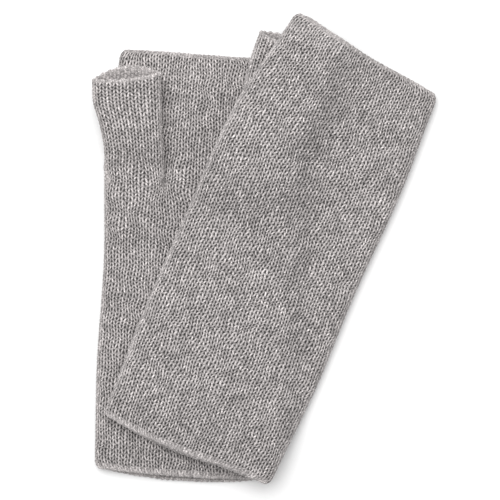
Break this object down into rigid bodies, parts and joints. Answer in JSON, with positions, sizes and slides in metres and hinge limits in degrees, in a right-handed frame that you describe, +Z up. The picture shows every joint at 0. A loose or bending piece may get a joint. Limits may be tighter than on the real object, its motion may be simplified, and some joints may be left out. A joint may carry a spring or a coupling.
{
  "type": "fingerless gloves",
  "caption": "Pair of plain knitted fingerless gloves with open thumb tubes, lying flat, the right glove laid at an angle across the left one.",
  "frame": {"origin": "middle of the pair's outline, on the table it lies on", "axes": "+Z up from the table, +Y towards the finger edges along the pair's length, +X across to the right"},
  "size_m": [0.172, 0.2356, 0.0246],
  "materials": {
    "knit": "soft wool stockinette, grey melange",
    "edge": "chained bind-off in the same wool yarn",
    "seam": "linked seam in the same wool yarn"
  },
  "bodies": {
    "lower_glove": {"lower_hand_tube": "knit", "lower_cuff_edge": "edge", "lower_finger_edge": "edge", "lower_side_seam": "seam", "lower_thumb_join": "seam"},
    "lower_thumb": {"lower_thumb_tube": "knit", "lower_thumb_edge": "edge"},
    "upper_glove": {"upper_hand_tube": "knit", "upper_cuff_edge": "edge", "upper_finger_edge": "edge", "upper_side_seam": "seam", "upper_thumb_join": "seam"},
    "upper_thumb": {"upper_thumb_tube": "knit", "upper_thumb_edge": "edge"}
  },
  "joints": [
    {"name": "upper_glove_lift", "type": "slide", "parent": "lower_glove", "child": "upper_glove", "axis": [0, 0, 1], "range_m": [0, 0.08]},
    {"name": "lower_thumb_lift", "type": "hinge", "parent": "lower_glove", "child": "lower_thumb", "pos_m": [-0.0658, 0.0317, 0.0081], "axis": [0.9992, -0.0401, 0], "range_deg": [0, 70]},
    {"name": "upper_thumb_swing", "type": "hinge", "parent": "upper_glove", "child": "upper_thumb", "pos_m": [-0.0058, 0.0508, 0.0121], "axis": [0, 0, 1], "range_deg": [0, 20]}
  ]
}
